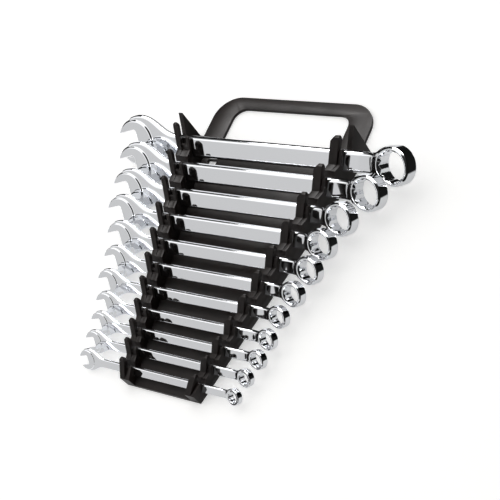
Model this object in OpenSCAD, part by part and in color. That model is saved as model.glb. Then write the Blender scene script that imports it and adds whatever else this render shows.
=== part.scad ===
// Set of combination wrenches in a moulded carry rack.
// The rack lies on its back: X runs along the wrenches, towards their box ends,
// Y runs up the back panel to the handle, and Z points out of the panel.
// The origin is the middle of the panel's back.

/* [Wrench sizes, from the handle down] */
// Width across flats of each wrench, in inches
flats_in = [3/4, 11/16, 5/8, 9/16, 1/2, 7/16, 3/8, 11/32, 5/16, 9/32, 1/4]; // one value per wrench
// Length over all of each wrench, along its shank
wrench_l = [260.2, 236, 216.2, 203.1, 190.2, 177, 168.2, 158.6, 152.9, 146.2, 140.6]; // one value per wrench
// Distance from the middle of the rack to the centre of each box end
box_reach = [112.9, 101.1, 88.2, 81.3, 79.3, 73.9, 69.6, 68, 66.5, 63, 60.2]; // one value per wrench
// Distance along the panel from each wrench to the next one down
seat_pitch = [21.7, 21.2, 20.1, 19.4, 18.2, 17.2, 16.6, 14.5, 13.7, 13.7]; // one value per gap

/* [Wrench form] */
// Shank width that does not grow with the size across flats
shank_w_base = 1.6; // [0:0.1:4]
// Growth of the shank width per mm across flats
shank_w_rate = 0.63; // [0.5:0.01:0.75]
// Shank thickness that does not grow with the size across flats
shank_t_base = 0.9; // [0.3:0.1:2]
// Growth of the shank thickness per mm across flats
shank_t_rate = 0.3; // [0.2:0.01:0.4]
// Share of its width that the shank loses towards the box end
shank_taper = 0.08; // [0:0.01:0.2]
// Radius of the open end that does not grow with the size across flats
head_r_base = 2.2; // [1:0.1:4]
// Growth of the open end's radius per mm across flats
head_r_rate = 0.92; // [0.85:0.01:1]
// Thickness of the open end that does not grow with the size across flats
head_t_base = 0.8; // [0.4:0.1:2]
// Growth of the open end's thickness per mm across flats
head_t_rate = 0.36; // [0.3:0.01:0.45]
// Angle between the jaws and the shank, in degrees
jaw_angle = 15; // [10:1:22.5]
// Reach of the jaw tips past the head's centre, per mm across flats
jaw_reach_rate = 1.22; // [1.1:0.01:1.35]
// Depth of the throat past the head's centre towards the tips, per mm across flats
throat_rate = 0.12; // [0:0.01:0.3]
// Outer radius of the box end that does not grow with the size across flats
box_r_base = 1.5; // [1.2:0.1:3]
// Growth of the box end's outer radius per mm across flats
box_r_rate = 0.625; // [0.6:0.005:0.7]
// Thickness of the box end that does not grow with the size across flats
box_t_base = 0.9; // [0.4:0.1:2]
// Growth of the box end's thickness per mm across flats
box_t_rate = 0.54; // [0.4:0.01:0.6]
// Angle between the box end and the shank, in degrees
box_angle = 12; // [6:0.5:15]
// Distance from the shank's bend to the middle of the box end, per mm across flats
bend_rate = 1.4; // [1.3:0.05:1.5]
// Play of a nut between the jaws and in the box end
nut_play = 0.15; // [0.05:0.05:0.4]

/* [Rack panel] */
// Thickness of the back panel and of the handle
panel_t = 2.6; // [2:0.1:5]
// Width of the panel at its foot
panel_foot_w = 59.5; // [54:0.5:66]
// Width of the panel at its top corners
panel_top_w = 148.5; // [140:0.5:156]
// Distance from the panel's foot to the lowest wrench
foot_y = 8.8; // [8:0.1:14]
// Distance from the topmost wrench to the panel's top corners
crown_y = 18.4; // [17:0.1:26]
// Drop of the panel's top edge below its corners, between the legs of the handle
crown_drop = 4.5; // [2:0.1:6]
// Distance from the panel's middle to the middle of each hanging slot
slot_reach = 50.2; // [30:0.1:52]
// Width of each hanging slot
slot_w = 8.4; // [4:0.1:9]
// Length of each hanging slot
slot_l = 13; // [8:0.1:14]

/* [Handle] */
// Height of the handle above the panel's top corners
handle_h = 37.7; // [34:0.1:60]
// Width of the handle's bar
bar_w = 10.3; // [8:0.1:18]
// Width of each leg of the handle
leg_w = 18.4; // [12:0.1:28]
// Step from the panel's top corner in to the leg
leg_step = 4.9; // [0.5:0.1:8]
// Outer corner radius of the handle
handle_outer_r = 20; // [10:0.5:24]
// Inner corner radius of the handle
handle_inner_r = 10; // [4:0.5:12]

/* [Combs] */
// Angle between the seats and the panel, in degrees
seat_angle = 46; // [38:0.5:54]
// Clearance of a shank in its seat
seat_play = 0.3; // [0.2:0.05:0.6]
// Gap between the open ends and the surface that the rack lies on
lie_gap = 0.5; // [0.2:0.1:2]
// Width of the left comb at the panel's foot
left_foot_w = 8; // [7:0.1:10]
// Width of the left comb at the panel's top corners
left_top_w = 12; // [10:0.1:14]
// Width of the right comb at the panel's foot
right_foot_w = 7.4; // [6.5:0.1:10]
// Width of the right comb at the panel's top corners
right_top_w = 9.6; // [8.5:0.1:14]
// Overhang of the combs past the panel's side edges
comb_overhang = 2; // [0:0.1:3]
// Width of the tall fingers of the left comb, along its outer side
left_finger_w = 4.2; // [3:0.1:4.4]
// Width of the low fingers of the left comb, along its inner side
left_lug_w = 2.4; // [1.5:0.1:2.6]
// Width of the low fingers of the right comb, along its outer side
right_lug_w = 2; // [1.5:0.1:2.4]
// Width of the slit between the low and the tall fingers of the right comb
right_slit_w = 0.9; // [0.6:0.1:1.2]
// Thickness of the rearmost fin
fin_w = 3.8; // [2:0.1:4.2]
// Height of the rearmost fin above the panel's back
fin_h = 32; // [27:0.1:36]
// Rise of a tall finger above its shank that does not grow with the shank
finger_rise_base = 4.2; // [3:0.1:8]
// Growth of a tall finger's rise per mm of shank width
finger_rise_rate = 0.45; // [0.2:0.01:0.8]
// Rise of a low finger above its shank
lug_rise = 0.8; // [0.2:0.1:3]
// Share of the shank's width from its middle up to the web between the fingers before it
web_level = 0.12; // [0:0.01:0.4]
// Thickness of a tall finger
finger_t = 3.5; // [3:0.1:5]
// Thickness of a low finger
lug_t = 2.6; // [2:0.1:4]
// Step back from the front of the low fingers to the front of the web
web_step = 0.4; // [0.2:0.1:0.8]
// Share of the shank's width from its middle down to the root of the fingers before it
finger_root = 0.2; // [0:0.05:0.4]
// Width of the bevel at the inner corner of the left comb's tall fingers
left_bevel = 1.8; // [0.5:0.1:2.5]
// Width of the bevel at the inner corner of the right comb's tall fingers
right_bevel = 2.6; // [0.5:0.1:3]
// Width of the bevel at the outer corner of each tall finger
outer_bevel = 0.9; // [0.3:0.1:1.2]
// Height of the combs' front faces at the panel's foot
foot_lip = 10.4; // [6:0.1:11]

/* [Hidden] */
$fn = 72;
eps = 0.01;
inch = 25.4;
count = len(flats_in);
last = count - 1;
chrome = [0.82, 0.83, 0.85];
plastic = [0.13, 0.12, 0.12];

// Sizes of wrench k
function flat(k) = inch * flats_in[k];
function shank_w(k) = shank_w_base + shank_w_rate * flat(k);
function shank_t(k) = shank_t_base + shank_t_rate * flat(k);
function head_r(k) = head_r_base + head_r_rate * flat(k);
function head_t(k) = head_t_base + head_t_rate * flat(k);
function box_r(k) = box_r_base + box_r_rate * flat(k);
function box_t(k) = box_t_base + box_t_rate * flat(k);
function jaw_reach(k) = jaw_reach_rate * flat(k);
// Bevel at the rims of both ends
function rim(k) = 0.07 * flat(k);
// Distance from the middle of the box end to its outermost point, along the shank
function box_out(k) = box_r(k) * cos(box_angle) + (box_t(k) / 2 - rim(k)) * sin(box_angle);
// Distance from the shank's bend to the middle of the box end, and where the bend is
function bend_l(k) = bend_rate * flat(k);
function bend_x(k) = box_reach[k] - bend_l(k) * cos(box_angle);
function tip_x(k) = box_reach[k] + box_out(k) - wrench_l[k];
function head_x(k) = tip_x(k) + jaw_reach(k);

// Seat of wrench k: the centre of its shank on the side view of the rack
function seat_y(k) = k == last ? foot_y : seat_y(k + 1) + seat_pitch[k];
function seat_z(k) = head_r(k) * sin(seat_angle) + head_t(k) / 2 * cos(seat_angle) + lie_gap;
// A point of the side view, given along the shank's width and along its thickness
function seat_point(k, across, out) =
    [seat_y(k) + across * cos(seat_angle) - out * sin(seat_angle),
     seat_z(k) + across * sin(seat_angle) + out * cos(seat_angle)];

panel_h = seat_y(0) + crown_y;
edge_slope = (panel_top_w - panel_foot_w) / 2 / panel_h;
// Distance of a line along the combs from the middle of the rack, at height y up the panel.
// inset holds the line's distance in from the comb's outer face at the foot and at the top.
function comb_x(y, inset) =
    panel_foot_w / 2 + comb_overhang - inset[0] + (edge_slope - (inset[1] - inset[0]) / panel_h) * y;

// Lines along the combs, as distances in from their outer faces at the foot and at the top
outer_line = [0, 0];
left_inner_line = [left_foot_w, left_top_w];
right_inner_line = [right_foot_w, right_top_w];
fin_line = [fin_w, fin_w];
left_finger_line = [left_finger_w, left_finger_w];
left_lug_line = left_inner_line - [left_lug_w, left_lug_w];
right_lug_line = [right_lug_w, right_lug_w];
slit_line = right_lug_line + [right_slit_w, right_slit_w];

// Disc with bevelled rims
module bevelled_disc(r, t, bevel) {
    rotate_extrude()
        polygon([[0, -t / 2], [r - bevel, -t / 2], [r, -t / 2 + bevel],
                 [r, t / 2 - bevel], [r - bevel, t / 2], [0, t / 2]]);
}

// Section of the shank: a flat face with its edges rounded off in two steps
function shank_section(w, t) =
    let (quarter = [[0.36 * w, 0.5 * t], [0.46 * w, 0.38 * t], [0.5 * w, 0.16 * t]])
    concat([for (p = quarter) p],
           [for (i = [2:-1:0]) [quarter[i][0], -quarter[i][1]]],
           [for (p = quarter) [-p[0], -p[1]]],
           [for (i = [2:-1:0]) [-quarter[i][0], quarter[i][1]]]);

// Bar of the shank's section along X, from x0 to x1, turned about a point before its start
module shank_bar(x0, x1, w, t, turn) {
    run_out = 8;
    translate([x0 - run_out, 0, 0])
        rotate([0, 0, turn])
            translate([run_out / 2, 0, 0])
                rotate([90, 0, 90])
                    linear_extrude(height = x1 - x0 + run_out)
                        polygon(shank_section(w, t));
}

// Shank from x0 to x1 that loses the share taper of its width on the way
module tapered_shank(x0, x1, w, t, taper) {
    turn = atan(w * taper / 2 / (x1 - x0));
    intersection() {
        shank_bar(x0, x1, w, t, turn);
        shank_bar(x0, x1, w, t, -turn);
        translate([x0, -w, -t])
            cube([x1 - x0, 2 * w, 2 * t]);
    }
}

// Fillets in the plane of the wrench between a shank and a round head at the origin.
// Their ends run a little way into the head and the shank.
module neck_web(r, w, t, fillet) {
    bite = 0.1;
    mid_y = w / 2 + fillet - bite;
    run = sqrt(pow(r + fillet - bite, 2) - pow(mid_y, 2));
    linear_extrude(height = t, center = true)
        difference() {
            translate([0, -mid_y * r / (r + fillet)])
                square([run, 2 * mid_y * r / (r + fillet)]);
            for (side = [-1, 1])
                translate([run, side * mid_y])
                    circle(r = fillet);
        }
}

// Space for a hexagon bar between parallel jaws, with rounded throat corners
module jaw_space(af, depth, t) {
    corner = 0.14 * af;
    linear_extrude(height = t, center = true)
        union() {
            translate([-depth - af, -af / 2])
                square([depth + af - corner, af]);
            translate([-corner - eps, -af / 2 + corner])
                square([corner + eps, af - 2 * corner]);
            for (side = [-1, 1])
                translate([-corner, side * (af / 2 - corner)])
                    circle(r = corner);
        }
}

// Twelve-point socket with countersunk mouths
module box_socket(af, t) {
    mouth = 0.6 * af;
    sink = 0.06 * af;
    for (turn = [0, 30])
        rotate([0, 0, turn])
            cylinder(h = t + 2, r = af / 2 / cos(30), center = true, $fn = 6);
    for (side = [-1, 1])
        rotate([90 - side * 90, 0, 0])
            translate([0, 0, t / 2 - sink])
                cylinder(h = sink + eps, r1 = mouth - sink, r2 = mouth + eps);
}

// Moves a shape from the origin to the middle of wrench k's box end
module at_box_end(k) {
    translate([bend_x(k), 0, 0])
        rotate([0, -box_angle, 0])
            translate([bend_l(k), 0, 0])
                children();
}

// Combination wrench k, along X, with the faces of its shank square to Z
module wrench_body(k) {
    af = flat(k) + nut_play;
    box_w = 0.97 * shank_w(k) * (1 - shank_taper);
    web_share = 0.64;
    jaw_r = 0.93 * head_r(k);
    step = [-0.28 * flat(k) * cos(jaw_angle), -0.28 * flat(k) * sin(jaw_angle), 0];
    difference() {
        union() {
            tapered_shank(head_x(k), bend_x(k) + 0.2 * shank_t(k), shank_w(k), shank_t(k), shank_taper);
            at_box_end(k)
                translate([-bend_l(k), 0, 0])
                    rotate([90, 0, 90])
                        linear_extrude(height = bend_l(k))
                            polygon(shank_section(box_w, 0.97 * shank_t(k)));
            translate([head_x(k), 0, 0]) {
                bevelled_disc(head_r(k), (head_t(k) + shank_t(k)) / 2, rim(k));
                translate(step)
                    bevelled_disc(jaw_r, head_t(k), rim(k));
                neck_web(head_r(k), shank_w(k), web_share * shank_t(k), 0.9 * head_r(k));
            }
            at_box_end(k) {
                bevelled_disc(box_r(k), box_t(k), rim(k));
                mirror([1, 0, 0])
                    neck_web(box_r(k), box_w, web_share * shank_t(k), 0.6 * box_r(k));
            }
        }
        translate([head_x(k), 0, 0])
            rotate([0, 0, jaw_angle]) {
                translate([-throat_rate * flat(k), 0, 0])
                    jaw_space(af, jaw_reach(k), head_t(k) + 2);
                translate([-jaw_reach(k) - head_r(k), 0, 0])
                    cube([2 * head_r(k), 3 * head_r(k), head_t(k) + 2], center = true);
            }
        at_box_end(k)
            box_socket(af, box_t(k));
    }
}

// Wrench k on its seats in the rack
module wrench(k) {
    color(chrome)
        translate([0, seat_y(k) - panel_h / 2, seat_z(k)])
            rotate([seat_angle, 0, 0])
                wrench_body(k);
}

// Rise of a tall finger above the middle of the shank in front of which it stands
function finger_top(k) = shank_w(k) * (0.5 + finger_rise_rate) + finger_rise_base;

// Distance from the middle of shank k to the walls of its seat
function seat_wall(k) = shank_t(k) / 2 + seat_play;
// Point at height z in the middle plane of the topmost wrench
function rear_top(z) = seat_point(0, (z - seat_z(0)) / sin(seat_angle), 0);

// Side view of a comb's stretch, without the seats. tops gives each finger's height above the
// middle of its shank, and t is its thickness.
function comb_side(tops, t) =
    let (rear = seat_point(0, 0, -seat_wall(0) - finger_t))
    concat(
        [[rear[0], 0], rear, rear_top(rear[1])],
        [for (k = [0:last])
            each [
                if (k > 0) seat_point(k, shank_w(k) / 2 + 1, 0),
                seat_point(k, tops[k] - 0.3 * t - seat_wall(k), 0),
                seat_point(k, tops[k], seat_wall(k) + 0.3 * t),
                seat_point(k, tops[k], seat_wall(k) + 0.6 * t),
                seat_point(k, tops[k] - 0.4 * t, seat_wall(k) + t),
                if (k < last)
                    seat_point(k, min(tops[k] - 0.6 * t, -finger_root * shank_w(k)), seat_wall(k) + t)]],
        [[0, foot_lip], [0, 0]]);

// Side view of the rearmost fin, from the topmost wrench to the panel's top corner
fin_side = [[panel_h, 0], [panel_h, fin_h], rear_top(fin_h), rear_top(seat_z(0)), [seat_y(0), 0]];

// Stretch of a comb on the right side, between two lines along the comb
module comb_rib(outer, inner, side) {
    intersection() {
        rotate([90, 0, 90])
            linear_extrude(height = panel_top_w)
                polygon(side);
        linear_extrude(height = 2 * fin_h)
            polygon([[comb_x(0, outer), 0], [comb_x(panel_h, outer), panel_h],
                     [comb_x(panel_h, inner), panel_h], [comb_x(0, inner), 0]]);
    }
}

// Spaces of the bevels at both upper corners of the tall finger before wrench k
module tip_bevels(k, outer, inner, bevel) {
    top = finger_top(k);
    tip_y = seat_point(k, top, shank_t(k) / 2 + finger_t / 2)[0];
    x_in = comb_x(tip_y, inner);
    x_out = comb_x(tip_y, outer);
    steep = 1.1;
    translate([0, seat_y(k), seat_z(k)])
        rotate([seat_angle, 0, 0])
            translate([0, top, shank_t(k) / 2])
                linear_extrude(height = 2 * finger_t) {
                    polygon([[x_in - bevel, -2 * steep * bevel], [x_in + 2 * bevel, steep * bevel],
                             [x_in - bevel, steep * bevel]]);
                    polygon([[x_out + outer_bevel, -6 * outer_bevel], [x_out + outer_bevel, 3 * outer_bevel],
                             [x_out - 2 * outer_bevel, 3 * outer_bevel]]);
                }
}

// Space of the seat of wrench k, through the comb on the right side
module seat(k) {
    translate([0, seat_y(k), seat_z(k)])
        rotate([seat_angle, 0, 0])
            translate([0, -shank_w(k) / 2 - seat_play, -seat_wall(k)])
                cube([panel_top_w, 3 * fin_h, 2 * seat_wall(k)]);
}

// Comb on the right side: stretches with tall fingers, a web and low fingers, and the
// rearmost fin. Each of tall, web and low holds the outer and the inner line of its stretch.
module comb(tall, web, low, bevel) {
    tall_tops = [for (k = [0:last]) finger_top(k)];
    web_tops = [for (k = [0:last]) web_level * shank_w(k)];
    low_tops = [for (k = [0:last]) shank_w(k) / 2 + lug_rise];
    difference() {
        union() {
            difference() {
                comb_rib(tall[0], tall[1], comb_side(tall_tops, finger_t));
                for (k = [0:last])
                    tip_bevels(k, tall[0], tall[1], bevel);
            }
            comb_rib(web[0], web[1], comb_side(web_tops, lug_t - web_step));
            comb_rib(low[0], low[1], comb_side(low_tops, lug_t));
            comb_rib(outer_line, fin_line, fin_side);
        }
        for (k = [0:last])
            seat(k);
    }
}

// Outline of the back panel, seen from the front
module panel_outline() {
    polygon([[-panel_foot_w / 2, 0], [panel_foot_w / 2, 0],
             [panel_top_w / 2, panel_h], [-panel_top_w / 2, panel_h]]);
}

// Outline of a bar with two rounded upper corners
module arch_outline(w, h, r) {
    translate([-w / 2, 0])
        square([w, h - r]);
    translate([-w / 2 + r, 0])
        square([w - 2 * r, h]);
    for (side = [-1, 1])
        translate([side * (w / 2 - r), h - r])
            circle(r = r);
}

// Slots in the panel to hang the rack by, below the topmost wrench
module hanging_slots() {
    mid = seat_y(0) - 0.4 * seat_pitch[0];
    for (side = [-1, 1])
        translate([side * slot_reach - slot_w / 2, mid - slot_l / 2])
            square([slot_w, slot_l]);
}

// One-piece moulding: back panel, handle and both combs
module rack() {
    leg_outer = panel_top_w / 2 - leg_step;
    color(plastic)
        translate([0, -panel_h / 2, 0]) {
            linear_extrude(height = panel_t)
                difference() {
                    union() {
                        panel_outline();
                        translate([0, panel_h - crown_drop])
                            arch_outline(2 * leg_outer, handle_h + crown_drop, handle_outer_r);
                    }
                    translate([0, panel_h - crown_drop])
                        arch_outline(2 * (leg_outer - leg_w), handle_h + crown_drop - bar_w, handle_inner_r);
                    hanging_slots();
                }
            comb([slit_line, right_inner_line], [right_lug_line, slit_line], [outer_line, right_lug_line],
                 right_bevel);
            mirror([1, 0, 0])
                comb([outer_line, left_finger_line], [left_finger_line, left_lug_line],
                     [left_lug_line, left_inner_line], left_bevel);
        }
}

rack();
wrench(0);  // wrench_3_4
wrench(1);  // wrench_11_16
wrench(2);  // wrench_5_8
wrench(3);  // wrench_9_16
wrench(4);  // wrench_1_2
wrench(5);  // wrench_7_16
wrench(6);  // wrench_3_8
wrench(7);  // wrench_11_32
wrench(8);  // wrench_5_16
wrench(9);  // wrench_9_32
wrench(10);  // wrench_1_4
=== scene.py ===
"""Looks of a set of combination wrenches in a moulded carry rack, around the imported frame.

All sizes are in millimetres and turn into metres where a mesh is made. In a wrench's own
axes, x runs along the shank to the box end, y across the shank and z out of its face.
"""

import logging
import math
from collections.abc import Callable
from dataclasses import dataclass, field
from enum import Enum
from fractions import Fraction

import bmesh
import bpy
import numpy as np
from mathutils import Matrix, Vector


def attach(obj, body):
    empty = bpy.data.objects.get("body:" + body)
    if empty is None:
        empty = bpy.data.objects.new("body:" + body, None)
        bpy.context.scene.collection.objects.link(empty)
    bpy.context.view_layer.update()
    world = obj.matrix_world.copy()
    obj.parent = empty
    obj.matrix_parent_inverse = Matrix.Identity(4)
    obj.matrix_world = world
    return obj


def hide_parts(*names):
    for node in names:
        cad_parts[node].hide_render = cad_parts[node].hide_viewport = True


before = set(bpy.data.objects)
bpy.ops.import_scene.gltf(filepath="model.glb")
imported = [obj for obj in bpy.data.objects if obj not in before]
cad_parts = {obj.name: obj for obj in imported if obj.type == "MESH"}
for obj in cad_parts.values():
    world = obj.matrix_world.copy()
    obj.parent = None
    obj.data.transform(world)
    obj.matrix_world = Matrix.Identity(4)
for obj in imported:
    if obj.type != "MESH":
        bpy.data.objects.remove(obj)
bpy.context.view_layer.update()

MM = 0.001
INCH = 25.4
BODY = "root"
LOG = logging.getLogger("wrench_rack")

# Least size of a slope, and the decimals to which grid lines count as the same
TINY = 1e-6
DECIMALS = 6

Array = np.ndarray
Span = tuple[float, float, float]
Stops = tuple[tuple[float, float], ...]
Socket = bpy.types.NodeSocket
Value = bpy.types.NodeSocket | float | tuple


class Slot(Enum):
    """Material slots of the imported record."""

    RACK = "rack"
    CHROME = "chrome"


# Shape helpers


def soft_min(a: Array, b: Array, k: float | Array) -> Array:
    """Union of two distance fields with a fillet.

    Args:
        a: First field.
        b: Second field.
        k: Width of the fillet, the same everywhere or point by point.

    Returns:
        The joined field.
    """
    h = np.maximum(k - np.abs(a - b), 0.0) / k
    return np.minimum(a, b) - h * h * k / 4


def soft_max(a: Array, b: Array, k: float) -> Array:
    """Overlap of two distance fields with a rounded edge, as soft_min does for a union."""
    return -soft_min(-a, -b, k)


def rounded_corner(a: Array, b: Array, r: float | Array) -> Array:
    """Overlap of two distance fields at right angles, with an exact radius.

    Args:
        a: First field.
        b: Second field, at right angles to the first.
        r: Radius of the edge between them.

    Returns:
        The overlap's field.
    """
    a = a + r
    b = b + r
    inside = np.minimum(np.maximum(a, b), 0.0)
    return inside + np.hypot(np.maximum(a, 0.0), np.maximum(b, 0.0)) - r


def slab(plan: Array, z: Array, half: float | Array, rim: float | Array) -> Array:
    """Distance to a plate with rounded rims.

    Args:
        plan: Distance to the plate's outline, seen from above.
        z: Height above the plate's middle.
        half: Half of its thickness.
        rim: Radius of its rims.

    Returns:
        The distance to the plate.
    """
    return rounded_corner(plan, np.abs(z) - half, rim)


def bevel(plan: Array, z: Array, half: float, width: float) -> Array:
    """Distance to the slopes that cut the rims of a plate.

    Args:
        plan: Distance to the plate's outline, seen from above.
        z: Height above the plate's middle.
        half: Half of its thickness.
        width: Width of the bevel.

    Returns:
        The distance to the slopes, negative on the plate's side.
    """
    return (plan + np.abs(z) - half + width) * math.sqrt(0.5)


def net_points(values: Array, inside: Array, axes: tuple[Array, ...]) -> tuple[Array, Array]:
    """Puts a point into each cell of a grid that a surface runs through.

    Args:
        values: The surface's field on the grid.
        inside: Where the field is negative.
        axes: The grid's coordinates along x, y and z.

    Returns:
        The points, and each cell's point number, -1 where it has none.
    """
    cells = tuple(n - 1 for n in values.shape)
    total = np.zeros(cells + (3,))
    count = np.zeros(cells)
    grid = np.stack(np.meshgrid(*axes, indexing="ij"), -1)
    ends = (slice(0, -1), slice(1, None))
    # A cell's point is the mean of the places where the surface cuts the cell's twelve edges
    for axis in range(3):
        across = [n for n in range(3) if n != axis]
        for i, j in np.ndindex(2, 2):
            start = [ends[0]] * 3
            start[across[0]], start[across[1]] = ends[i], ends[j]
            stop = list(start)
            stop[axis] = ends[1]
            a, b = tuple(start), tuple(stop)
            cut = inside[a] != inside[b]
            share = np.where(cut, values[a] / np.where(cut, values[a] - values[b], 1), 0)
            point = grid[a] + (grid[b] - grid[a]) * share[..., None]
            total += np.where(cut[..., None], point, 0)
            count += cut
    used = count > 0
    number = np.full(cells, -1)
    number[used] = np.arange(used.sum())
    return total[used] / count[used][:, None], number


def net_quads(inside: Array, number: Array) -> Array:
    """Joins the points of the four cells round each grid edge that a surface cuts.

    Args:
        inside: Where the field is negative.
        number: Each cell's point number.

    Returns:
        The quads as rows of four point numbers, facing outwards.
    """
    quads = []
    for axis in range(3):
        u, v = (axis + 1) % 3, (axis + 2) % 3
        start = [slice(1, -1)] * 3
        stop = [slice(1, -1)] * 3
        start[axis], stop[axis] = slice(0, -1), slice(1, None)
        a, b = inside[tuple(start)], inside[tuple(stop)]
        at = np.argwhere(a != b) + 1
        at[:, axis] -= 1
        leaves = a[a != b]
        ring = []
        for du, dv in ((-1, -1), (0, -1), (0, 0), (-1, 0)):
            cell = at.copy()
            cell[:, u] += du
            cell[:, v] += dv
            ring.append(number[tuple(cell.T)])
        quad = np.stack(ring, 1)
        quad[~leaves] = quad[~leaves][:, ::-1]
        quads.append(quad)
    return np.concatenate(quads)


def net(values: Array, axes: tuple[Array, ...]) -> tuple[Array, Array]:
    """Wraps a net of quads round the inside of a field.

    Args:
        values: The field on the grid, negative inside.
        axes: The grid's coordinates along x, y and z.

    Returns:
        The points, and the quads as rows of four point numbers.
    """
    inside = values < 0
    points, number = net_points(values, inside, axes)
    return points, net_quads(inside, number)


def slope_of(field_of: Callable[[Array], Array], points: Array, delta: float) -> tuple[Array, Array]:
    """Measures how a field rises at some points.

    Args:
        field_of: The field, as a function of points.
        points: The points.
        delta: Distance at which the field is sampled on both sides of a point.

    Returns:
        The slope as a vector, and its size.
    """
    steps = np.eye(3) * delta
    rises = [field_of(points + step) - field_of(points - step) for step in steps]
    slope = np.stack(rises, 1) / (2 * delta)
    return slope, np.maximum(np.linalg.norm(slope, axis=1, keepdims=True), TINY)


def settle(points: Array, field_of: Callable[[Array], Array], reach: float, rounds: int = 5,
           probe: float = 0.02) -> tuple[Array, Array]:
    """Moves points onto the surface of a field.

    Args:
        points: The points, near the surface.
        field_of: The field, as a function of points.
        reach: Longest step of a round.
        rounds: Number of rounds.
        probe: Share of the reach at which the field is sampled beside a point.

    Returns:
        The moved points and the surface's normals there.
    """
    delta = reach * probe
    slope, size = slope_of(field_of, points, delta)
    for _ in range(rounds):
        move = np.clip(field_of(points)[:, None] / size, -reach, reach)
        points = points - move * slope / size
        slope, size = slope_of(field_of, points, delta)
    return points, slope / size


def lines(*spans: Span) -> Array:
    """Grid lines over several spans in a row.

    Args:
        *spans: Start, end and spacing of each span.

    Returns:
        The coordinates of the lines, in order.
    """
    parts = []
    for start, end, spacing in spans:
        count = max(2, math.ceil((end - start) / spacing) + 1)
        parts.append(np.linspace(start, end, count))
    return np.unique(np.round(np.concatenate(parts), DECIMALS))


# Wrenches


@dataclass(frozen=True)
class Growth:
    """A size that grows with the size across flats."""

    base: float
    rate: float

    def at(self, flat: float) -> float:
        """The size at one size across flats."""
        return self.base + self.rate * flat


@dataclass(frozen=True)
class WrenchSizes:
    """Sizes of one combination wrench, from its size across flats."""

    flat: float
    length: float
    box_reach: float

    # Share of its width that the shank loses towards the box end, and play between jaws and nut
    taper: float = 0.08
    play: float = 0.15
    jaw_angle: float = math.radians(15)
    box_angle: float = math.radians(12)

    # The photograph shows the shanks this much wider than the source has them
    widening: float = 1.2

    # How the sizes grow with the size across flats, as in the source
    shank_width: Growth = Growth(1.6, 0.63)
    shank_thickness: Growth = Growth(0.9, 0.3)
    head_radius: Growth = Growth(2.2, 0.92)
    head_thickness: Growth = Growth(0.8, 0.36)
    box_radius: Growth = Growth(1.5, 0.625)
    box_thickness: Growth = Growth(0.9, 0.54)

    # Shares of the size across flats
    rim_rate: float = 0.07
    bend_rate: float = 1.4
    jaw_rate: float = 1.22

    @property
    def shank_w(self) -> float:
        """Width of the shank at the open end."""
        return self.widening * self.shank_width.at(self.flat)

    @property
    def shank_t(self) -> float:
        """Thickness of the shank."""
        return self.shank_thickness.at(self.flat)

    @property
    def head_r(self) -> float:
        """Radius of the open end."""
        return self.head_radius.at(self.flat)

    @property
    def head_t(self) -> float:
        """Thickness of the open end."""
        return self.head_thickness.at(self.flat)

    @property
    def box_r(self) -> float:
        """Outer radius of the box end."""
        return self.box_radius.at(self.flat)

    @property
    def box_t(self) -> float:
        """Thickness of the box end."""
        return self.box_thickness.at(self.flat)

    @property
    def rim(self) -> float:
        """Bevel at the rims of both ends."""
        return self.rim_rate * self.flat

    @property
    def bend(self) -> float:
        """Distance from the shank's bend to the middle of the box end."""
        return self.bend_rate * self.flat

    @property
    def bend_x(self) -> float:
        """Place of the bend along the shank."""
        return self.box_reach - self.bend * math.cos(self.box_angle)

    @property
    def jaw_reach(self) -> float:
        """Reach of the jaw tips past the head's centre."""
        return self.jaw_rate * self.flat

    @property
    def opening(self) -> float:
        """Half of the space that holds the nut, at both ends."""
        return (self.flat + self.play) / 2

    @property
    def head_x(self) -> float:
        """Centre of the open end along the shank."""
        out = self.box_r * math.cos(self.box_angle)
        out += (self.box_t / 2 - self.rim) * math.sin(self.box_angle)
        return self.box_reach + out - self.length + self.jaw_reach


@dataclass(frozen=True)
class Join:
    """Fillet between one end and the shank. It is full on the shank's side and fades beyond."""

    fillet: float
    start: float
    least: float

    def share(self, inward: Array) -> Array:
        """Share of the fillet at places measured from the end's centre towards the shank."""
        return np.clip(inward + self.start, self.least, 1)


@dataclass(frozen=True)
class Forging:
    """Shares that shape every wrench's skin alike."""

    # Slope of the forged sides, and how far it is rounded at the middle of the thickness
    draft: float = 0.28
    crest: float = 0.15

    # Shank: shift to the lower side, rounding of its edges, thinning at the open end, and how far
    # before and after the bend it curves
    shift: float = 0.06
    edge: float = 0.5
    thinning: float = 0.18
    ease: float = 0.25

    # Necks: radius of each end that the shank widens to, and the fillet there, by its radius
    head_core: float = 0.97
    head_fillet: float = 0.95
    box_core: float = 0.95
    box_fillet: float = 0.75

    # Round pad with the jaws: how far it lies in front of the head's centre, and its radius
    pad_shift: float = 0.28
    pad_r: float = 0.93

    # Rims: rounding by the bevel's width, and blending by the size across flats
    rim_round: float = 0.2
    rim_blend: float = 0.015

    # Joins of both ends with the shank. Their fillets are shares of the size across flats.
    pad_join: Join = Join(0.03, 0.2, 0.05)
    box_join: Join = Join(0.4, 0.05, 0.02)

    # Space between the jaws: depth behind the head's centre, corners, and its rounded edge
    gap_depth: float = 0.12
    gap_corner: float = 0.14
    gap_edge: float = 0.05

    # Socket: radius of its countersunk mouths, and its rounded edge
    mouth_r: float = 0.6
    socket_edge: float = 0.02


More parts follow.
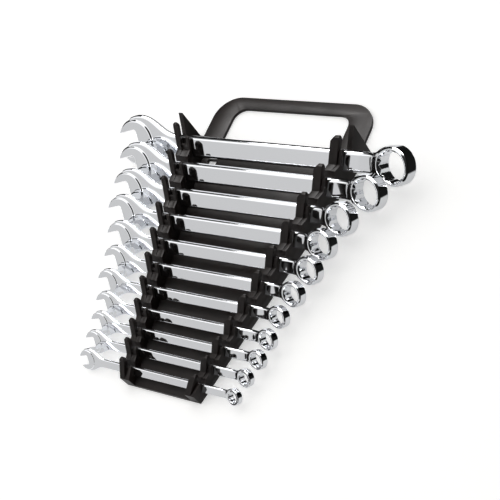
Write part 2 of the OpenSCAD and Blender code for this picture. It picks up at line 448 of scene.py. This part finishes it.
@dataclass
class Wrench:
    """One combination wrench: smooth forged body, open jaws and twelve-point box end."""

    name: str
    sizes: WrenchSizes
    seat: tuple[float, float]
    tilt: float
    form: Forging = Forging()

    # Spacing of the mesh by the size across flats, and how much coarser it is along the shank
    fineness: float = 0.03
    coarse: float = 4.0

    # Room that the fine mesh takes round the open end and the box end, by flats or radius
    jaw_room: float = 1.4
    head_room: float = 1.3
    side_room: float = 1.04
    box_room: tuple[float, float] = (1.4, 1.1)

    def body(self, points: Array) -> Array:
        """Distance from points to the wrench's surface.

        Args:
            points: Points in the wrench's own axes, one in each row.

        Returns:
            The distance at each point, negative inside.
        """
        s, f = self.sizes, self.form
        x, y, z = points.T
        u, v = self.to_box_end(x, z)
        from_box = np.hypot(u, y) - s.box_r
        half = s.shank_t / 2 * (1 - f.thinning * np.exp(-((x - s.head_x) / s.head_r) ** 2))
        shape = self.shank(x, y, z, half, from_box)
        share = f.pad_join.share((x - s.head_x) / s.head_r)
        shape = soft_min(shape, self.pad(x, y, z, half), f.pad_join.fillet * s.flat * share)
        ring = self.bevelled(from_box, v, s.box_t / 2)
        share = f.box_join.share(-u / s.box_r)
        shape = soft_min(shape, ring, f.box_join.fillet * s.flat * share)
        shape = soft_max(shape, -self.jaw_gap(x, y), f.gap_edge * s.flat)
        return soft_max(shape, -self.socket(u, y, v), f.socket_edge * s.flat)

    def shank(self, x: Array, y: Array, z: Array, half: Array, from_box: Array) -> Array:
        """Distance to the shank, its necks and what they widen to under both ends.

        Args:
            x: Places along the shank.
            y: Places across it.
            z: Heights above its face.
            half: Half of the shank's thickness at each place.
            from_box: Distance to the box end's outer wall.

        Returns:
            The distance at each point.
        """
        s, f = self.sizes, self.form
        along = np.clip((x - s.head_x) / (s.bend_x - s.head_x), 0, 1)
        plan = np.abs(y + f.shift * s.shank_w) - s.shank_w / 2 * (1 - s.taper * along)
        plan = np.maximum(plan, np.maximum(s.head_x - x, x - s.box_reach))
        from_head = np.hypot(x - s.head_x, y) - f.head_core * s.head_r
        plan = soft_min(plan, from_head, f.head_fillet * s.head_r)
        plan = soft_min(plan, from_box + (1 - f.box_core) * s.box_r, f.box_fillet * s.box_r)
        lift = z - self.rise(x)
        plan = plan + self.drafted(lift, half)
        return slab(plan, lift * math.cos(s.box_angle / 2), half, f.edge * half)

    def rise(self, x: Array) -> Array:
        """Height of the shank's middle, which bends up to the box end.

        Args:
            x: Places along the shank.

        Returns:
            The height at each place.
        """
        s = self.sizes
        ease = self.form.ease * s.flat
        past = x - s.bend_x
        bent = np.where(past < -ease, 0, (past + ease) ** 2 / (4 * ease))
        return math.tan(s.box_angle) * np.where(past > ease, past, bent)

    def drafted(self, z: Array, half: Array) -> Array:
        """How far the forged sides lean in at height z above the middle of the thickness."""
        crest = self.form.crest * half
        return self.form.draft * (np.hypot(z, crest) - crest)

    def bevelled(self, plan: Array, z: Array, half: float) -> Array:
        """Distance to a plate with the wrench's bevelled rims.

        Args:
            plan: Distance to the plate's outline, seen from above.
            z: Height above the plate's middle.
            half: Half of its thickness.

        Returns:
            The distance to the plate.
        """
        s, f = self.sizes, self.form
        plate = slab(plan, z, half, f.rim_round * s.rim)
        return soft_max(plate, bevel(plan, z, half, s.rim), f.rim_blend * s.flat)

    def pad(self, x: Array, y: Array, z: Array, half: Array) -> Array:
        """Distance to the round pad that carries the jaws, a little thicker than the shank.

        Args:
            x: Places along the shank.
            y: Places across it.
            z: Heights above its face.
            half: Half of the shank's thickness at each place.

        Returns:
            The distance at each point.
        """
        s, f = self.sizes, self.form
        pad_x = s.head_x - f.pad_shift * s.flat * math.cos(s.jaw_angle)
        pad_y = -f.pad_shift * s.flat * math.sin(s.jaw_angle)
        plan = np.hypot(x - pad_x, y - pad_y) - f.pad_r * s.head_r + self.drafted(z, half)
        return self.bevelled(plan, z, s.head_t / 2)

    def to_box_end(self, x: Array, z: Array) -> tuple[Array, Array]:
        """Turns places into the box end's own axes, from its centre.

        Args:
            x: Places along the shank.
            z: Heights above its face.

        Returns:
            The places along the box end, and the heights above its middle.
        """
        s = self.sizes
        c, n = math.cos(s.box_angle), math.sin(s.box_angle)
        dx = x - s.bend_x
        return dx * c + z * n - s.bend, z * c - dx * n

    def jaw_gap(self, x: Array, y: Array) -> Array:
        """Distance to the space between the parallel jaws, and beyond their tips.

        Args:
            x: Places along the shank.
            y: Places across it.

        Returns:
            The distance at each point.
        """
        s, f = self.sizes, self.form
        c, n = math.cos(s.jaw_angle), math.sin(s.jaw_angle)
        dx = x - s.head_x
        u, v = dx * c + y * n, -dx * n + y * c
        gap = rounded_corner(u + f.gap_depth * s.flat, np.abs(v) - s.opening, f.gap_corner * s.flat)
        return np.minimum(gap, u + s.jaw_reach)

    def hexagon(self, u: Array, y: Array, turn: float) -> Array:
        """Distance to the walls of a nut's hexagon.

        Args:
            u: Places along the box end, from its centre.
            y: Places across it.
            turn: Turn of the hexagon, in degrees.

        Returns:
            The distance at each point.
        """
        walls = [math.radians(turn + 30 + 60 * k) for k in range(3)]
        far = [np.abs(u * math.cos(a) + y * math.sin(a)) for a in walls]
        return np.max(far, axis=0) - self.sizes.opening

    def socket(self, u: Array, y: Array, v: Array) -> Array:
        """Distance to the twelve-point socket and its countersunk mouths.

        Args:
            u: Places along the box end, from its centre.
            y: Places across it.
            v: Heights above its middle.

        Returns:
            The distance at each point.
        """
        s = self.sizes
        star = np.minimum(self.hexagon(u, y, 0), self.hexagon(u, y, 30))
        mouth = np.hypot(u, y) - self.form.mouth_r * s.flat - (np.abs(v) - s.box_t / 2)
        return np.minimum(star, mouth * math.sqrt(0.5))

    def build(self) -> bpy.types.Object:
        """Makes the wrench's mesh on its seats in the rack.

        Returns:
            The piece.
        """
        s = self.sizes
        h = self.fineness * s.flat
        head = (s.head_x - self.jaw_room * s.flat - 2 * h, s.head_x + self.head_room * s.head_r, h)
        box = (s.box_reach - self.box_room[0] * s.box_r, s.box_reach + self.box_room[1] * s.box_r, h)
        side = s.head_r * self.side_room + h
        rise = s.bend * math.sin(s.box_angle)
        top = rise + s.box_t / 2 + s.box_r * math.sin(s.box_angle) + 2 * h
        xs = lines(head, (head[1], box[0], self.coarse * h), box)
        ys = lines((-side, side, h))
        zs = lines((-s.head_t / 2 - 2 * h, top, h))
        grid = np.stack(np.meshgrid(xs, ys, zs, indexing="ij"), -1)
        values = self.body(grid.reshape(-1, 3)).reshape(grid.shape[:3])
        points, quads = net(values, (xs, ys, zs))
        points, normals = settle(points, self.body, 0.5 * h)
        return self.to_object(points, normals, quads)

    def to_object(self, points: Array, normals: Array, quads: Array) -> bpy.types.Object:
        """Puts the mesh in the rack's axes and gives it the surface's own normals.

        Args:
            points: The mesh's points in the wrench's own axes.
            normals: The surface's normals at the points.
            quads: The mesh's faces as rows of four point numbers.

        Returns:
            The piece.
        """
        c, n = math.cos(self.tilt), math.sin(self.tilt)
        turn = np.array([[1, 0, 0], [0, c, -n], [0, n, c]])
        world = points @ turn.T
        world[:, 1] += self.seat[0]
        world[:, 2] += self.seat[1]
        mesh = bpy.data.meshes.new(f"chrome_{self.name}")
        mesh.from_pydata((world * MM).tolist(), [], quads.tolist())
        mesh.polygons.foreach_set("use_smooth", [True] * len(mesh.polygons))
        mesh.normals_split_custom_set_from_vertices((normals @ turn.T).tolist())
        mesh.update()
        piece = bpy.data.objects.new(f"chrome_{self.name}", mesh)
        bpy.context.scene.collection.objects.link(piece)
        return piece


@dataclass(frozen=True)
class RackPlan:
    """Sizes of the wrenches and their places in the rack, as the source has them."""

    inches: tuple[str, ...] = (
        "3/4", "11/16", "5/8", "9/16", "1/2", "7/16", "3/8", "11/32", "5/16", "9/32", "1/4")
    length: tuple[float, ...] = (260.2, 236, 216.2, 203.1, 190.2, 177, 168.2, 158.6, 152.9, 146.2, 140.6)
    box_reach: tuple[float, ...] = (112.9, 101.1, 88.2, 81.3, 79.3, 73.9, 69.6, 68, 66.5, 63, 60.2)
    pitch: tuple[float, ...] = (21.7, 21.2, 20.1, 19.4, 18.2, 17.2, 16.6, 14.5, 13.7, 13.7)

    # From the panel's foot to the lowest wrench, and from the topmost one to the panel's top
    foot_y: float = 8.8
    crown_y: float = 18.4
    seat_angle: float = math.radians(46)
    lie_gap: float = 0.5

    def sizes(self, k: int) -> WrenchSizes:
        """Sizes of wrench k."""
        flat = INCH * float(Fraction(self.inches[k]))
        return WrenchSizes(flat, self.length[k], self.box_reach[k])

    def seat_y(self, k: int) -> float:
        """Height of wrench k up the panel, from the panel's middle."""
        height = self.foot_y + sum(self.pitch) + self.crown_y
        return self.foot_y + sum(self.pitch[k:]) - height / 2

    def seat_z(self, k: int) -> float:
        """Height of wrench k over the floor, on which its open end nearly lies.

        Args:
            k: Number of the wrench, from the topmost.

        Returns:
            The height of its shank's middle.
        """
        sizes = self.sizes(k)
        edge = sizes.head_r * math.sin(self.seat_angle)
        return edge + (sizes.head_t / 2 * math.cos(self.seat_angle) + self.lie_gap)


@dataclass
class WrenchSet:
    """The eleven wrenches, from the topmost to the lowest."""

    plan: RackPlan = RackPlan()

    def build(self, finish: bpy.types.Material) -> list[bpy.types.Object]:
        """Builds every wrench in place of its solid.

        Args:
            finish: Material of the wrenches.

        Returns:
            The pieces, one per wrench.
        """
        made = []
        plan = self.plan
        for k, inches in enumerate(plan.inches):
            name = "wrench_" + inches.replace("/", "_")
            seat = (plan.seat_y(k), plan.seat_z(k))
            piece = Wrench(name, plan.sizes(k), seat, plan.seat_angle).build()
            piece.data.materials.append(finish)
            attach(piece, BODY)
            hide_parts(name)
            LOG.info("%s: %d quads", piece.name, len(piece.data.polygons))
            made.append(piece)
        return made


# Rack


@dataclass
class Rack:
    """The one-piece moulding, with the small rounded edges of a moulded part."""

    node: str = "rack"
    weld: float = 0.002
    edge_r: float = 0.45
    edge_steps: int = 2
    flat_angle: float = math.radians(1)
    edge_angle: float = math.radians(20)

    def build(self, finish: bpy.types.Material) -> bpy.types.Object:
        """Copies the rack's solid and rounds its edges.

        Args:
            finish: Material of the rack.

        Returns:
            The piece that shows in place of the solid.
        """
        shape = bmesh.new()
        shape.from_mesh(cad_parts[self.node].data)
        bmesh.ops.remove_doubles(shape, verts=shape.verts, dist=self.weld * MM)
        bmesh.ops.dissolve_limit(shape, angle_limit=self.flat_angle, use_dissolve_boundaries=False,
                                 verts=shape.verts, edges=shape.edges)
        mesh = bpy.data.meshes.new("moulding")
        shape.to_mesh(mesh)
        shape.free()
        mesh.materials.clear()
        mesh.materials.append(finish)
        mesh.polygons.foreach_set("use_smooth", [True] * len(mesh.polygons))
        piece = bpy.data.objects.new("moulding", mesh)
        bpy.context.scene.collection.objects.link(piece)
        self.round_edges(piece)
        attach(piece, BODY)
        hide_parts(self.node)
        LOG.info("%s: %d faces before its edges are rounded", piece.name, len(mesh.polygons))
        return piece

    def round_edges(self, piece: bpy.types.Object) -> None:
        """Gives a piece small rounded edges.

        Args:
            piece: The piece.
        """
        rounding = piece.modifiers.new("edges", "BEVEL")
        rounding.width = self.edge_r * MM
        rounding.segments = self.edge_steps
        rounding.limit_method = "ANGLE"
        rounding.angle_limit = self.edge_angle
        rounding.use_clamp_overlap = True
        rounding.harden_normals = True


# Finishes


def grey(level: float) -> tuple[float, float, float, float]:
    """A neutral colour."""
    return (level, level, level, 1)


class Nodes:
    """A material's or a group's node tree, with short ways to add to it."""

    def __init__(self, tree: bpy.types.NodeTree) -> None:
        """Starts on an empty tree."""
        self.tree = tree
        tree.nodes.clear()

    def add(self, kind: str, inputs: dict[str | int, Value] | None = None, **props) -> bpy.types.Node:
        """Adds a node.

        Args:
            kind: Type of the node.
            inputs: Values or sockets for its inputs, by name or number.
            **props: Settings of the node.

        Returns:
            The node.
        """
        node = self.tree.nodes.new(kind)
        for key, value in props.items():
            setattr(node, key, value)
        for key, value in (inputs or {}).items():
            if isinstance(value, Socket):
                self.tree.links.new(value, node.inputs[key])
            else:
                node.inputs[key].default_value = value
        return node

    def calc(self, operation: str, a: Value, b: Value) -> Socket:
        """Adds a sum of two numbers and returns its result."""
        return self.add("ShaderNodeMath", {0: a, 1: b}, operation=operation).outputs["Value"]

    def blend(self, operation: str, a: Value, b: Value) -> Socket:
        """Adds a sum of two colours, channel by channel, and returns its result."""
        return self.add("ShaderNodeVectorMath", {0: a, 1: b}, operation=operation).outputs["Vector"]

    def mix(self, factor: Socket, a: Value, b: Value) -> Socket:
        """Adds a mix that goes from colour a to colour b and returns its result."""
        inputs = {"Factor": factor, "A": a, "B": b}
        return self.add("ShaderNodeMix", inputs, data_type="RGBA").outputs["Result"]

    def split(self, place: Socket) -> tuple[Socket, Socket, Socket]:
        """Splits a place or direction into x, y and z."""
        return tuple(self.add("ShaderNodeSeparateXYZ", {"Vector": place}).outputs)

    def either(self, choice: Socket, a: Socket, b: Socket) -> Socket:
        """Adds a switch that shows shader a, or b where the choice is 1."""
        return self.add("ShaderNodeMixShader", {0: choice, 1: a, 2: b}).outputs[0]

    def both(self, a: Socket, b: Socket) -> Socket:
        """Adds two shaders up."""
        return self.add("ShaderNodeAddShader", {0: a, 1: b}).outputs[0]

    def ramp(self, factor: Socket, stops: Stops) -> Socket:
        """Adds a ramp of greys.

        Args:
            factor: Place on the ramp, from 0 to 1.
            stops: Place and level of each stop, in order.

        Returns:
            The ramp's colour.
        """
        node = self.add("ShaderNodeValToRGB", {"Fac": factor})
        elements = node.color_ramp.elements
        while len(elements) < len(stops):
            elements.new(0.5)
        for element, (place, level) in zip(elements, stops):
            element.position = place
            element.color = grey(level)
        return node.outputs["Color"]


@dataclass(frozen=True)
class Mottle:
    """Soft cloudy variation and a fine grain, which both finishes use."""

    inputs: tuple[str, ...] = ("Cloud Scale", "Grain Scale", "Low", "High")
    outputs: tuple[str, ...] = ("Cloud", "Grain")
    cloud_detail: float = 4.0
    cloud_roughness: float = 0.55
    cloud_range: tuple[float, float] = (0.3, 0.7)
    grain_detail: float = 2.0
    grain_roughness: float = 0.6

    def group(self) -> bpy.types.NodeTree:
        """Builds the node group.

        Returns:
            The group. Its cloud goes from Low to High.
        """
        tree = bpy.data.node_groups.new("mottle", "ShaderNodeTree")
        for name in self.inputs:
            tree.interface.new_socket(name, in_out="INPUT", socket_type="NodeSocketFloat")
        for name in self.outputs:
            tree.interface.new_socket(name, in_out="OUTPUT", socket_type="NodeSocketFloat")
        n = Nodes(tree)
        given = n.add("NodeGroupInput").outputs
        place = n.add("ShaderNodeTexCoord").outputs["Object"]
        cloud = n.add("ShaderNodeTexNoise", {
            "Vector": place, "Scale": given["Cloud Scale"], "Detail": self.cloud_detail,
            "Roughness": self.cloud_roughness})
        grain = n.add("ShaderNodeTexNoise", {
            "Vector": place, "Scale": given["Grain Scale"], "Detail": self.grain_detail,
            "Roughness": self.grain_roughness})
        low, high = self.cloud_range
        spread = n.add("ShaderNodeMapRange", {
            "Value": cloud.outputs["Fac"], "From Min": low, "From Max": high,
            "To Min": given["Low"], "To Max": given["High"]})
        n.add("NodeGroupOutput", {"Cloud": spread.outputs["Result"], "Grain": grain.outputs["Fac"]})
        return tree


@dataclass(frozen=True)
class ChromePlate:
    """Polished chrome plate with faint polishing marks and a few cloudy smudges."""

    colour: tuple[float, ...] = (0.83, 0.84, 0.86, 1)
    clear: float = 0.02
    hazy: float = 0.06
    smudge_scale: float = 45.0
    mark_scale: tuple[float, float, float] = (20, 1500, 1500)
    mark_detail: float = 2.0
    mark_strength: float = 0.03
    mark_depth: float = 0.004

    def material(self, mottle: bpy.types.NodeTree) -> bpy.types.Material:
        """Builds the material.

        Args:
            mottle: The group with the shared variation.

        Returns:
            The material.
        """
        made = bpy.data.materials.new("chrome_plate")
        made.use_nodes = True
        n = Nodes(made.node_tree)
        smudges = n.add("ShaderNodeGroup", node_tree=mottle)
        smudges.inputs["Cloud Scale"].default_value = self.smudge_scale
        smudges.inputs["Low"].default_value = self.clear
        smudges.inputs["High"].default_value = self.hazy
        place = n.add("ShaderNodeTexCoord").outputs["Object"]
        stretched = n.add("ShaderNodeMapping", {"Vector": place, "Scale": self.mark_scale})
        marks = n.add("ShaderNodeTexNoise", {
            "Vector": stretched.outputs["Vector"], "Scale": 1.0, "Detail": self.mark_detail})
        bump = n.add("ShaderNodeBump", {
            "Height": marks.outputs["Fac"], "Strength": self.mark_strength,
            "Distance": self.mark_depth * MM})
        shader = n.add("ShaderNodeBsdfPrincipled", {
            "Base Color": self.colour, "Metallic": 1.0, "Roughness": smudges.outputs["Cloud"],
            "Normal": bump.outputs["Normal"]})
        n.add("ShaderNodeOutputMaterial", {"Surface": shader.outputs["BSDF"]})
        return made


@dataclass(frozen=True)
class MouldedPlastic:
    """Black moulded plastic: slightly cloudy, with a fine grain and soft gloss."""

    dark: tuple[float, ...] = (0.004, 0.0026, 0.0021, 1)
    pale: tuple[float, ...] = (0.011, 0.0078, 0.0068, 1)
    matt: float = 0.5
    glossy: float = 0.38
    reflection: float = 0.2
    cloud_scale: float = 55.0
    grain_scale: float = 900.0
    grain_strength: float = 0.35
    grain_depth: float = 0.05

    def material(self, mottle: bpy.types.NodeTree) -> bpy.types.Material:
        """Builds the material.

        Args:
            mottle: The group with the shared variation.

        Returns:
            The material.
        """
        made = bpy.data.materials.new("moulded_plastic")
        made.use_nodes = True
        n = Nodes(made.node_tree)
        cloud = n.add("ShaderNodeGroup", node_tree=mottle)
        cloud.inputs["Cloud Scale"].default_value = self.cloud_scale
        cloud.inputs["Grain Scale"].default_value = self.grain_scale
        cloud.inputs["Low"].default_value = 0
        cloud.inputs["High"].default_value = 1
        colour = n.mix(cloud.outputs["Cloud"], self.dark, self.pale)
        rough = n.add("ShaderNodeMapRange", {
            "Value": cloud.outputs["Cloud"], "To Min": self.matt, "To Max": self.glossy})
        bump = n.add("ShaderNodeBump", {
            "Height": cloud.outputs["Grain"], "Strength": self.grain_strength,
            "Distance": self.grain_depth * MM})
        shader = n.add("ShaderNodeBsdfPrincipled", {
            "Base Color": colour, "Roughness": rough.outputs["Result"],
            "Specular IOR Level": self.reflection, "Normal": bump.outputs["Normal"]})
        n.add("ShaderNodeOutputMaterial", {"Surface": shader.outputs["BSDF"]})
        return made


# Studio


@dataclass
class Camera:
    """Camera at the photograph's viewing angle."""

    azimuth: float = math.radians(-31.97)
    elevation: float = math.radians(47.21)
    roll: float = math.radians(-40.72)
    distance: float = 618.55
    target: tuple[float, float, float] = (107.93, -44.45, 117.83)
    focal_px: float = 1125.8
    frame_px: float = 500.0
    sensor: float = 36.0
    nearest: float = 10.0
    farthest: float = 20000.0

    def build(self) -> None:
        """Makes the camera and sets it as the scene's own."""
        a, e, r = self.azimuth, self.elevation, self.roll
        back = Vector((math.cos(a) * math.cos(e), math.sin(a) * math.cos(e), math.sin(e)))
        right = Vector((-math.sin(a), math.cos(a), 0))
        up = right.cross(-back)
        right, up = right * math.cos(r) + up * math.sin(r), up * math.cos(r) - right * math.sin(r)
        place = (Vector(self.target) + back * self.distance) * MM
        data = bpy.data.cameras.new("camera")
        data.sensor_width = self.sensor
        data.lens = self.focal_px / self.frame_px * self.sensor
        data.clip_start = self.nearest * MM
        data.clip_end = self.farthest * MM
        camera = bpy.data.objects.new("camera", data)
        turn = Matrix((right, up, back)).transposed().to_4x4()
        camera.matrix_world = Matrix.Translation(place) @ turn
        bpy.context.scene.collection.objects.link(camera)
        bpy.context.scene.camera = camera


@dataclass
class Floor:
    """Pale floor that the rack lies on.

    In metal it shows as a table that is pale near the rack and ends in the dark, on the
    right and behind.
    """

    width: float = 6000.0
    drop: float = 0.2
    colour: tuple[float, ...] = (0.9, 0.895, 0.88, 1)
    glow: float = 0.36

    # The table's shades run away from the rack over the ramp's length. Their lines slant on the
    # right, and on the way to the rear they come more slowly, by the rear's share.
    mirrored_glow: float = 0.3
    right_slant: float = 0.3
    rear_share: float = 0.64
    ramp_length: float = 250.0
    table: Stops = ((0.0, 0.9), (0.4, 0.72), (0.475, 0.66), (0.49, 0.01), (1.0, 0.008))

    def build(self) -> None:
        """Makes the floor."""
        mesh = bpy.data.meshes.new("floor")
        half = self.width / 2 * MM
        low = -self.drop * MM
        corners = [(-half, -half, low), (half, -half, low), (half, half, low), (-half, half, low)]
        mesh.from_pydata(corners, [], [(0, 1, 2, 3)])
        mesh.materials.append(self.material())
        floor = bpy.data.objects.new("floor", mesh)
        bpy.context.scene.collection.objects.link(floor)

    def material(self) -> bpy.types.Material:
        """Builds the floor's material.

        Returns:
            The material.
        """
        made = bpy.data.materials.new("pale_floor")
        made.use_nodes = True
        n = Nodes(made.node_tree)
        rays = n.add("ShaderNodeLightPath").outputs
        x, y, _ = n.split(n.add("ShaderNodeTexCoord").outputs["Object"])
        away = n.calc("SUBTRACT", x, n.calc("MULTIPLY", y, self.right_slant))
        away = n.calc("MAXIMUM", away, n.calc("MULTIPLY", y, self.rear_share))
        shade = n.ramp(n.calc("MULTIPLY", away, 1 / (self.ramp_length * MM)), self.table)
        matt = n.add("ShaderNodeBsdfDiffuse", {"Color": self.colour})
        lift = n.add("ShaderNodeEmission", {"Color": grey(self.glow), "Strength": rays["Is Camera Ray"]})
        mirrored = n.add("ShaderNodeBsdfDiffuse", {"Color": shade})
        mirrored_lift = n.add("ShaderNodeEmission", {"Color": shade, "Strength": self.mirrored_glow})
        shown = n.both(matt.outputs["BSDF"], lift.outputs["Emission"])
        mirrored = n.both(mirrored.outputs["BSDF"], mirrored_lift.outputs["Emission"])
        surface = n.either(rays["Is Glossy Ray"], shown, mirrored)
        n.add("ShaderNodeOutputMaterial", {"Surface": surface})
        return made


@dataclass
class Surroundings:
    """Soft white light from all round, and the studio that metal mirrors.

    All directions are the world's own. The studio is dark up to a line a little above the
    horizon, and bright over it.
    """

    fill: float = 0.5
    strength: float = 5.0

    # Bright wall above the line, and the horizon's place on its ramp. The line climbs towards the
    # rear and on the far right.
    wall: Stops = (
        (0.0, 0.002), (0.24, 0.003), (0.25, 0.145), (0.4, 0.133), (0.6, 0.136), (0.7, 0.15),
        (0.78, 0.24), (1.0, 0.26))
    horizon: float = 0.2
    rear_climb: float = 0.15
    right_climb: float = 0.8
    right_start: float = 0.4

    # Lamp high behind the rack, which brightens the handle's faces
    lamp_y: Stops = ((0.36, 0.0), (0.46, 1.0))
    lamp_z: Stops = ((0.5, 0.0), (0.6, 1.0))
    lamp_level: float = 2.2

    # Dark room on the side from which the photograph is taken, and on the right
    room: Stops = ((0.68, 1.0), (0.76, 0.03), (1.0, 0.02))
    room_towards: tuple[float, float, float] = (0.6, -0.4, 0.69)
    room_x: float = 0.35
    room_start: float = 0.65
    room_rate: float = 0.6

    # The wall ends on the left behind the rack. The ramp over x starts at x = -1.
    end_x: Stops = ((0.415, 0.02), (0.43, 1.0))
    end_y: Stops = ((0.15, 0.0), (0.2, 1.0))

    def studio(self, n: Nodes) -> Socket:
        """Adds the colours of the studio that metal mirrors.

        Args:
            n: The world's nodes.

        Returns:
            The colour in each direction.
        """
        towards = n.add("ShaderNodeTexCoord").outputs["Generated"]
        x, y, z = n.split(towards)
        rear = n.calc("MULTIPLY", n.calc("MAXIMUM", y, 0.0), self.rear_climb)
        right = n.calc("MAXIMUM", n.calc("SUBTRACT", x, self.right_start), 0.0)
        right = n.calc("MULTIPLY", right, self.right_climb)
        height = n.calc("ADD", n.calc("SUBTRACT", z, rear), self.horizon)
        seen = n.ramp(n.calc("SUBTRACT", height, right), self.wall)
        lamp = n.blend("MULTIPLY", n.ramp(y, self.lamp_y), n.ramp(z, self.lamp_z))
        seen = n.blend("ADD", seen, n.blend("MULTIPLY", lamp, (self.lamp_level,) * 3))
        front = n.add("ShaderNodeVectorMath", {0: towards, 1: self.room_towards}, operation="DOT_PRODUCT")
        side = n.calc("MULTIPLY", n.calc("SUBTRACT", x, self.room_x), self.room_rate)
        side = n.calc("ADD", side, self.room_start)
        room = n.ramp(n.calc("MAXIMUM", front.outputs["Value"], side), self.room)
        end = n.mix(n.ramp(y, self.end_y), grey(1.0), n.ramp(n.calc("ADD", x, 1.0), self.end_x))
        return n.blend("MULTIPLY", n.blend("MULTIPLY", seen, room), end)

    def build(self) -> None:
        """Makes the world: white for the camera, the studio for metal, and a soft fill."""
        world = bpy.data.worlds.new("studio")
        bpy.context.scene.world = world
        world.use_nodes = True
        n = Nodes(world.node_tree)
        rays = n.add("ShaderNodeLightPath").outputs
        mirrored = n.add("ShaderNodeBackground", {"Color": self.studio(n), "Strength": self.strength})
        fill = n.add("ShaderNodeBackground", {"Color": grey(1.0), "Strength": self.fill})
        white = n.add("ShaderNodeBackground", {"Color": grey(1.0), "Strength": 1.0})
        lit = n.either(rays["Is Glossy Ray"], fill.outputs[0], mirrored.outputs[0])
        n.add("ShaderNodeOutputWorld", {"Surface": n.either(rays["Is Camera Ray"], lit, white.outputs[0])})


@dataclass
class Lamp:
    """Square soft lamp that faces the rack and doesn't show in metal."""

    name: str = "key"
    place: tuple[float, float, float] = (-450, 200, 900)
    size: float = 1800.0
    watts: float = 6.5

    def build(self) -> None:
        """Makes the lamp."""
        data = bpy.data.lights.new(self.name, "AREA")
        data.shape = "SQUARE"
        data.size = self.size * MM
        data.energy = self.watts
        lamp = bpy.data.objects.new(self.name, data)
        lamp.location = Vector(self.place) * MM
        lamp.visible_glossy = False
        lamp.rotation_euler = (-Vector(self.place)).to_track_quat("-Z", "Y").to_euler()
        bpy.context.scene.collection.objects.link(lamp)


@dataclass
class Studio:
    """Camera, floor, surroundings and lamp."""

    camera: Camera = field(default_factory=Camera)
    floor: Floor = field(default_factory=Floor)
    surroundings: Surroundings = field(default_factory=Surroundings)
    key: Lamp = field(default_factory=Lamp)

    def build(self) -> None:
        """Makes the whole studio."""
        for part in (self.camera, self.floor, self.surroundings, self.key):
            part.build()
            LOG.info("%s is ready", type(part).__name__)
        bpy.context.scene.view_settings.view_transform = "Standard"


def main() -> None:
    """Builds the rack, the wrenches and the studio, and logs each piece."""
    logging.basicConfig(level=logging.INFO, format="%(name)s: %(message)s")
    mottle = Mottle().group()
    Rack().build(MouldedPlastic().material(mottle))
    WrenchSet().build(ChromePlate().material(mottle))
    Studio().build()
    bpy.context.view_layer.update()


if __name__ == "__main__":
    main()
